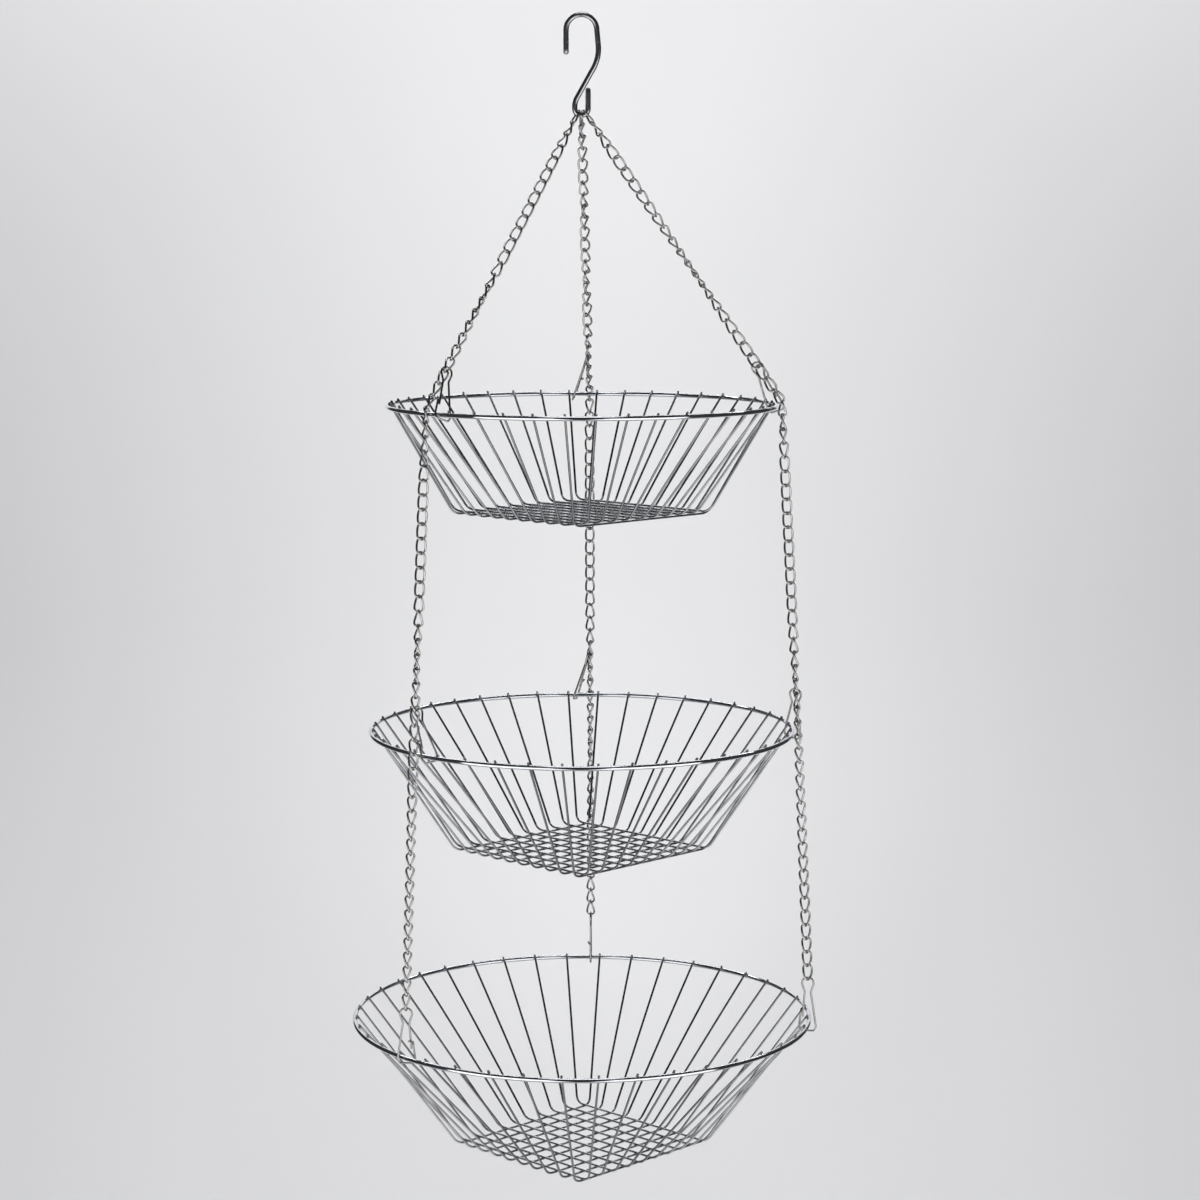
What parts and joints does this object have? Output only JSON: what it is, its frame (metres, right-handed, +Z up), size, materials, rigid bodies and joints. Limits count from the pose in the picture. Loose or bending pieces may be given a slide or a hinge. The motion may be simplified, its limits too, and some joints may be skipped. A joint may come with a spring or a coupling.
{
  "type": "hanging fruit basket",
  "caption": "Tiered round wire baskets, each larger than the one above, hung one under another on link chains from an S-hook, with spring clips on the rims.",
  "frame": {"origin": "hook seat: the inside top of the S-hook's upper bend, where it hangs on its support", "axes": "+Z up, -Y towards the viewer, +X to the viewer's right; the S-hook lies in the XZ plane and a corner of each basket's floor points to the front"},
  "size_m": [0.3095, 0.3124, 0.7527],
  "materials": {
    "hook_steel": "dull plated wire",
    "chain_nickel": "bright plated links",
    "clip_wire": "plated spring wire",
    "rim_chrome": "bright chrome",
    "basket_wire": "chrome on drawn wire"
  },
  "bodies": {
    "s_hook": {"s_hook": "hook_steel"},
    "top_tier": {"upper_chain_back": "chain_nickel", "upper_chain_left": "chain_nickel", "upper_chain_right": "chain_nickel", "top_clip_back": "clip_wire", "top_clip_left": "clip_wire", "top_clip_right": "clip_wire", "top_rim": "rim_chrome", "top_wires_upper": "basket_wire", "top_wires_lower": "basket_wire"},
    "middle_hanger_back": {"middle_chain_back": "chain_nickel", "middle_clip_back": "clip_wire"},
    "middle_hanger_left": {"middle_chain_left": "chain_nickel", "middle_clip_left": "clip_wire"},
    "middle_hanger_right": {"middle_chain_right": "chain_nickel", "middle_clip_right": "clip_wire"},
    "middle_basket": {"middle_rim": "rim_chrome", "middle_wires_upper": "basket_wire", "middle_wires_lower": "basket_wire"},
    "turning_link_back": {"turning_link_back": "chain_nickel"},
    "turning_link_left": {"turning_link_left": "chain_nickel"},
    "turning_link_right": {"turning_link_right": "chain_nickel"},
    "bottom_hanger_back": {"lower_chain_back": "chain_nickel", "bottom_clip_back": "clip_wire"},
    "bottom_hanger_left": {"lower_chain_left": "chain_nickel", "bottom_clip_left": "clip_wire"},
    "bottom_hanger_right": {"lower_chain_right": "chain_nickel", "bottom_clip_right": "clip_wire"},
    "bottom_basket": {"bottom_rim": "rim_chrome", "bottom_wires_upper": "basket_wire", "bottom_wires_lower": "basket_wire"}
  },
  "joints": [
    {"name": "hook_swing", "type": "hinge", "parent": "s_hook", "child": "top_tier", "pos_m": [0, 0, -0.0579], "axis": [0, 1, 0], "range_deg": [-12, 12]},
    {"name": "middle_swing", "type": "hinge", "parent": "top_tier", "child": "middle_hanger_back", "pos_m": [0.0046, 0.1317, -0.24549], "axis": [0, 1, 0], "range_deg": [-4, 4]},
    {"name": "middle_swing_left", "type": "hinge", "parent": "top_tier", "child": "middle_hanger_left", "pos_m": [-0.09638, -0.08987, -0.24549], "axis": [0, 1, 0], "range_deg": [-6, 6]},
    {"name": "middle_swing_right", "type": "hinge", "parent": "top_tier", "child": "middle_hanger_right", "pos_m": [0.12936, -0.02515, -0.24549], "axis": [0, 1, 0], "range_deg": [-6, 6]},
    {"name": "middle_basket_level", "type": "hinge", "parent": "middle_hanger_back", "child": "middle_basket", "pos_m": [0.00195, 0.13969, -0.46473], "axis": [0, 1, 0], "range_deg": [-6, 6]},
    {"name": "chain_turn_back", "type": "hinge", "parent": "middle_hanger_back", "child": "turning_link_back", "pos_m": [0.00504, 0.14439, -0.46353], "axis": [0, 1, 0], "range_deg": [-6, 6]},
    {"name": "chain_turn_left", "type": "hinge", "parent": "middle_hanger_left", "child": "turning_link_left", "pos_m": [-0.10567, -0.09853, -0.46353], "axis": [0, 1, 0], "range_deg": [-6, 6]},
    {"name": "chain_turn_right", "type": "hinge", "parent": "middle_hanger_right", "child": "turning_link_right", "pos_m": [0.14183, -0.02757, -0.46353], "axis": [0, 1, 0], "range_deg": [-6, 6]},
    {"name": "bottom_swing", "type": "hinge", "parent": "turning_link_back", "child": "bottom_hanger_back", "pos_m": [0.00506, 0.14483, -0.47262], "axis": [0, 1, 0], "range_deg": [-6, 6]},
    {"name": "bottom_swing_left", "type": "hinge", "parent": "turning_link_left", "child": "bottom_hanger_left", "pos_m": [-0.10599, -0.09884, -0.47262], "axis": [0, 1, 0], "range_deg": [-6, 6]},
    {"name": "bottom_swing_right", "type": "hinge", "parent": "turning_link_right", "child": "bottom_hanger_right", "pos_m": [0.14226, -0.02765, -0.47262], "axis": [0, 1, 0], "range_deg": [-6, 6]},
    {"name": "bottom_basket_level", "type": "hinge", "parent": "bottom_hanger_back", "child": "bottom_basket", "pos_m": [0.00532, 0.15231, -0.65942], "axis": [0, 1, 0], "range_deg": [-6, 6]}
  ],
  "couplings": [
    {"joint": "middle_swing_left", "follows": "middle_swing", "ratio": 1},
    {"joint": "middle_swing_right", "follows": "middle_swing", "ratio": 1},
    {"joint": "middle_basket_level", "follows": "middle_swing", "ratio": -0.965},
    {"joint": "chain_turn_back", "follows": "middle_swing", "ratio": -0.9121},
    {"joint": "chain_turn_left", "follows": "middle_swing", "ratio": -0.9121},
    {"joint": "chain_turn_right", "follows": "middle_swing", "ratio": -0.9121},
    {"joint": "bottom_swing_left", "follows": "bottom_swing", "ratio": 1},
    {"joint": "bottom_swing_right", "follows": "bottom_swing", "ratio": 1},
    {"joint": "bottom_basket_level", "follows": "bottom_swing", "ratio": -0.9509}
  ]
}
